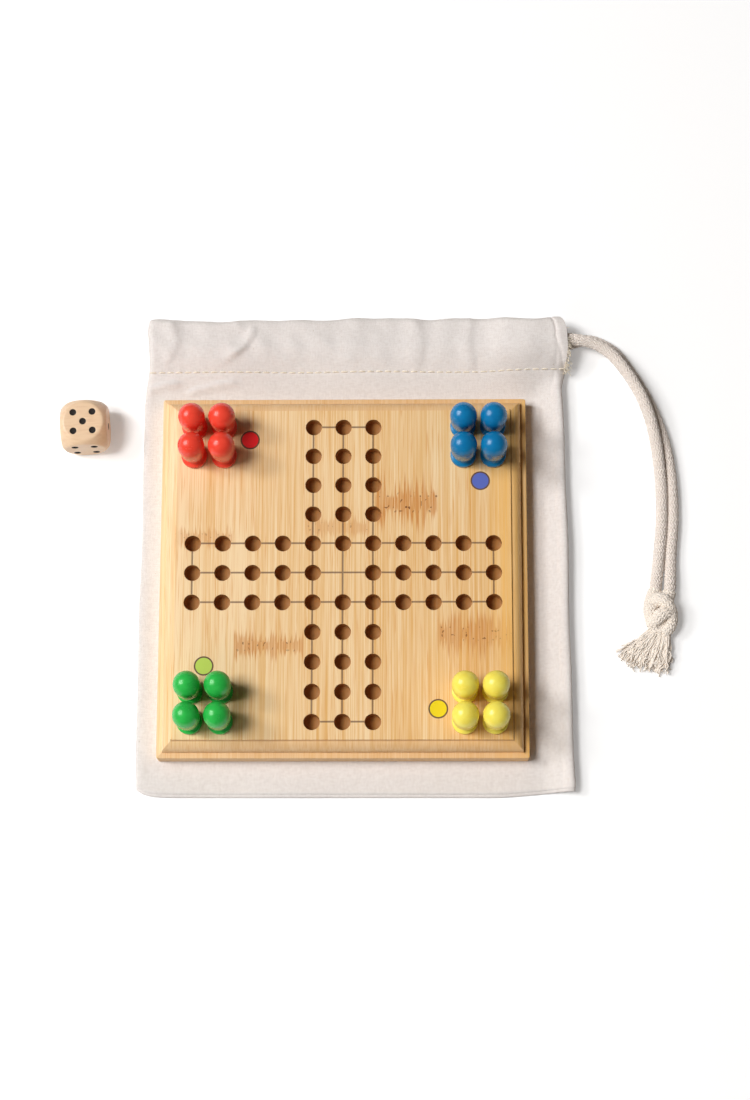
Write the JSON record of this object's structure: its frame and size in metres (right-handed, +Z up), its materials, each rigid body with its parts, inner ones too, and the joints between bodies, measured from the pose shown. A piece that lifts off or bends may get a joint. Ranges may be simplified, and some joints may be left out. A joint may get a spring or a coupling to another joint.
{
  "type": "ludo board",
  "caption": "Square bamboo ludo peg board with a moulded edge, turned pegs standing in its home holes, a wooden die and the cotton drawstring bag it lies on.",
  "frame": {"origin": "on the table, under the middle of the board, on the underside of the bag", "axes": "+X to the side the drawstring leaves by, +Y to the bag's mouth, +Z up"},
  "size_m": [0.2139, 0.1671, 0.0322],
  "materials": {
    "bamboo": "satin lacquered bamboo",
    "red_paint": "gloss painted wood",
    "blue_paint": "gloss painted wood",
    "green_paint": "gloss painted wood",
    "yellow_paint": "gloss painted wood",
    "die_wood": "satin light wood, black pips",
    "cotton_cloth": "plain natural cotton",
    "cotton_cord": "braided natural cotton"
  },
  "bodies": {
    "bag": {"cotton_bag": "cotton_cloth", "drawstring_in_casing": "cotton_cord", "drawstring_end_1": "cotton_cord", "drawstring_end_2": "cotton_cord", "drawstring_knot": "cotton_cord", "drawstring_tassel": "cotton_cord"},
    "board": {"bamboo_strip_1": "bamboo", "bamboo_strip_2": "bamboo", "bamboo_strip_3": "bamboo", "bamboo_strip_4": "bamboo", "bamboo_strip_5": "bamboo"},
    "red_peg_1": {"red_peg_1": "red_paint"},
    "red_peg_2": {"red_peg_2": "red_paint"},
    "red_peg_3": {"red_peg_3": "red_paint"},
    "red_peg_4": {"red_peg_4": "red_paint"},
    "blue_peg_1": {"blue_peg_1": "blue_paint"},
    "blue_peg_2": {"blue_peg_2": "blue_paint"},
    "blue_peg_3": {"blue_peg_3": "blue_paint"},
    "blue_peg_4": {"blue_peg_4": "blue_paint"},
    "green_peg_1": {"green_peg_1": "green_paint"},
    "green_peg_2": {"green_peg_2": "green_paint"},
    "green_peg_3": {"green_peg_3": "green_paint"},
    "green_peg_4": {"green_peg_4": "green_paint"},
    "yellow_peg_1": {"yellow_peg_1": "yellow_paint"},
    "yellow_peg_2": {"yellow_peg_2": "yellow_paint"},
    "yellow_peg_3": {"yellow_peg_3": "yellow_paint"},
    "yellow_peg_4": {"yellow_peg_4": "yellow_paint"},
    "die": {"die": "die_wood"}
  },
  "joints": [
    {"name": "board_lift", "type": "slide", "parent": "bag", "child": "board", "axis": [0, 0, 1], "range_m": [0, 0.04]},
    {"name": "red_peg_1_lift", "type": "slide", "parent": "board", "child": "red_peg_1", "axis": [0, 0, 1], "range_m": [0, 0.02]},
    {"name": "red_peg_2_lift", "type": "slide", "parent": "board", "child": "red_peg_2", "axis": [0, 0, 1], "range_m": [0, 0.02]},
    {"name": "red_peg_3_lift", "type": "slide", "parent": "board", "child": "red_peg_3", "axis": [0, 0, 1], "range_m": [0, 0.02]},
    {"name": "red_peg_4_lift", "type": "slide", "parent": "board", "child": "red_peg_4", "axis": [0, 0, 1], "range_m": [0, 0.02]},
    {"name": "blue_peg_1_lift", "type": "slide", "parent": "board", "child": "blue_peg_1", "axis": [0, 0, 1], "range_m": [0, 0.02]},
    {"name": "blue_peg_2_lift", "type": "slide", "parent": "board", "child": "blue_peg_2", "axis": [0, 0, 1], "range_m": [0, 0.02]},
    {"name": "blue_peg_3_lift", "type": "slide", "parent": "board", "child": "blue_peg_3", "axis": [0, 0, 1], "range_m": [0, 0.02]},
    {"name": "blue_peg_4_lift", "type": "slide", "parent": "board", "child": "blue_peg_4", "axis": [0, 0, 1], "range_m": [0, 0.02]},
    {"name": "green_peg_1_lift", "type": "slide", "parent": "board", "child": "green_peg_1", "axis": [0, 0, 1], "range_m": [0, 0.02]},
    {"name": "green_peg_2_lift", "type": "slide", "parent": "board", "child": "green_peg_2", "axis": [0, 0, 1], "range_m": [0, 0.02]},
    {"name": "green_peg_3_lift", "type": "slide", "parent": "board", "child": "green_peg_3", "axis": [0, 0, 1], "range_m": [0, 0.02]},
    {"name": "green_peg_4_lift", "type": "slide", "parent": "board", "child": "green_peg_4", "axis": [0, 0, 1], "range_m": [0, 0.02]},
    {"name": "yellow_peg_1_lift", "type": "slide", "parent": "board", "child": "yellow_peg_1", "axis": [0, 0, 1], "range_m": [0, 0.02]},
    {"name": "yellow_peg_2_lift", "type": "slide", "parent": "board", "child": "yellow_peg_2", "axis": [0, 0, 1], "range_m": [0, 0.02]},
    {"name": "yellow_peg_3_lift", "type": "slide", "parent": "board", "child": "yellow_peg_3", "axis": [0, 0, 1], "range_m": [0, 0.02]},
    {"name": "yellow_peg_4_lift", "type": "slide", "parent": "board", "child": "yellow_peg_4", "axis": [0, 0, 1], "range_m": [0, 0.02]},
    {"name": "die_lift", "type": "slide", "parent": "bag", "child": "die", "axis": [0, 0, 1], "range_m": [0, 0.04]}
  ]
}
